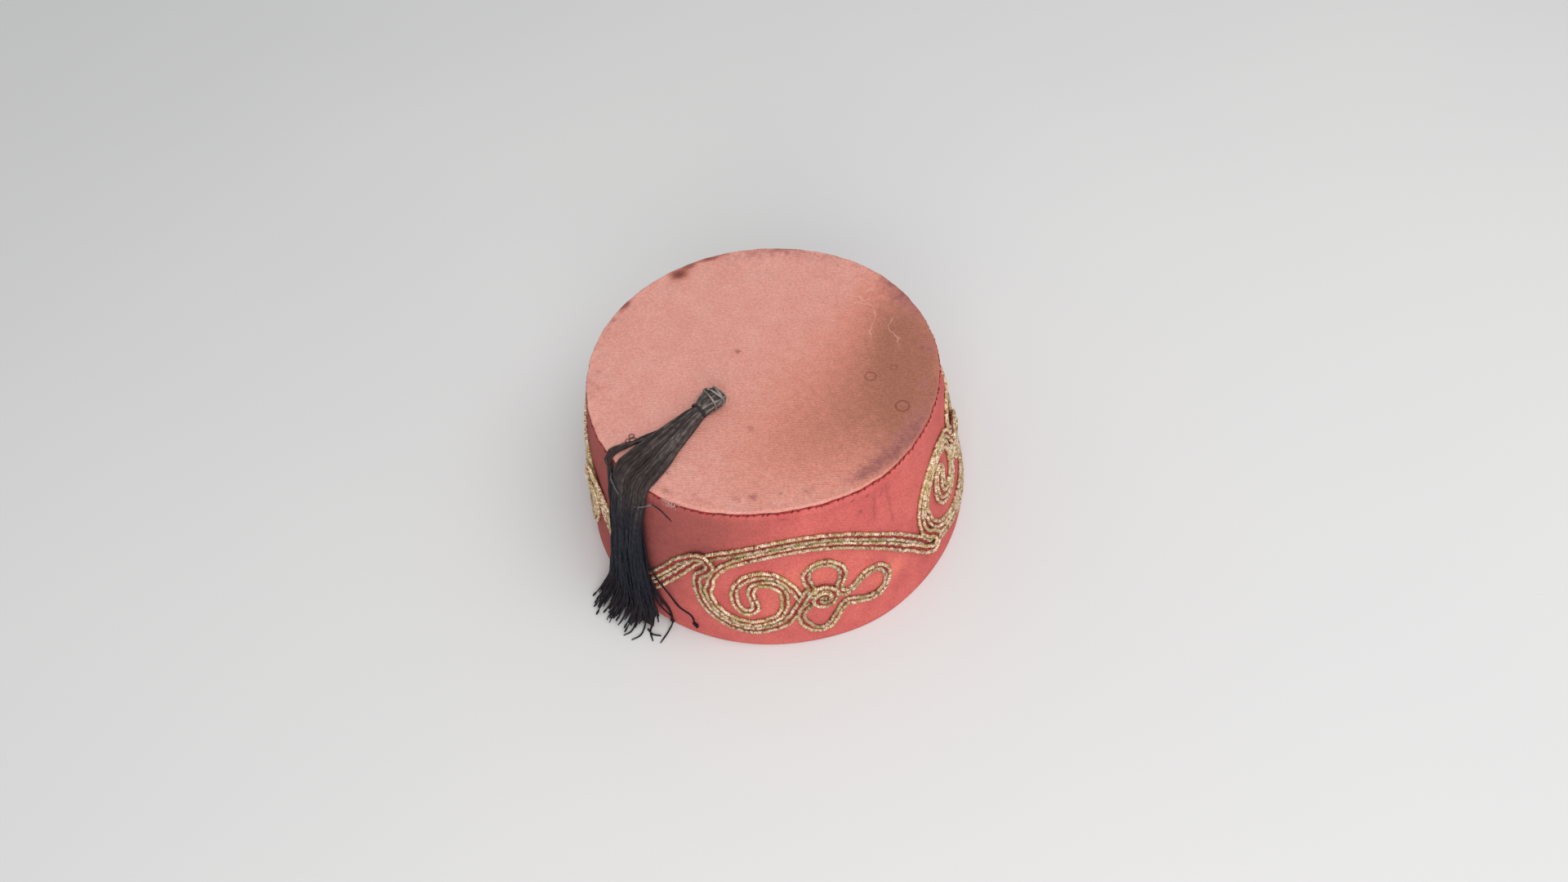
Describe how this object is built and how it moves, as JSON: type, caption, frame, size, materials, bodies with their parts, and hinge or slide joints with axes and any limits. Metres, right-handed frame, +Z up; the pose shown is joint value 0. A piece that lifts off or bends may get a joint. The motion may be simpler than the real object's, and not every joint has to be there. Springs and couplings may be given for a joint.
{
  "type": "fez",
  "caption": "Low round cloth hat with a tapered side and a flat top, gold braid scrolls and flowers on its side, and a black tassel that falls over the front.",
  "frame": {"origin": "middle of the whole footprint, on the surface that the hat stands on; the crown's own axis is 9.53 mm behind it, at +Y", "axes": "+Z up along the crown's axis; the tassel falls over the front, at -Y; +X to the right as the hat's front is faced from -Y"},
  "size_m": [0.182, 0.201, 0.0918],
  "materials": {
    "side_cloth": "napped coral red cloth with a fine twill",
    "top_cloth": "faded red cloth, stained and rubbed",
    "gold_braid": "flat braid of two gold cords with a crimson core line",
    "gold_coil": "gold cord wound into a small coil",
    "tassel_cord": "dull black twisted cords"
  },
  "bodies": {
    "root": {"crown_side": "side_cloth", "crown_top": "top_cloth", "wave_braid_upper": "gold_braid", "wave_braid_lower": "gold_braid", "arc_braid_1": "gold_braid", "scroll_braid_1": "gold_braid", "flower_braid_1": "gold_braid", "flower_knot_1": "gold_coil", "arc_braid_2": "gold_braid", "scroll_braid_2": "gold_braid", "flower_braid_2": "gold_braid", "flower_knot_2": "gold_coil", "arc_braid_3": "gold_braid", "scroll_braid_3": "gold_braid", "flower_braid_3": "gold_braid", "flower_knot_3": "gold_coil", "arc_braid_4": "gold_braid", "scroll_braid_4": "gold_braid", "flower_braid_4": "gold_braid", "flower_knot_4": "gold_coil", "tassel": "tassel_cord"}
  },
  "joints": []
}
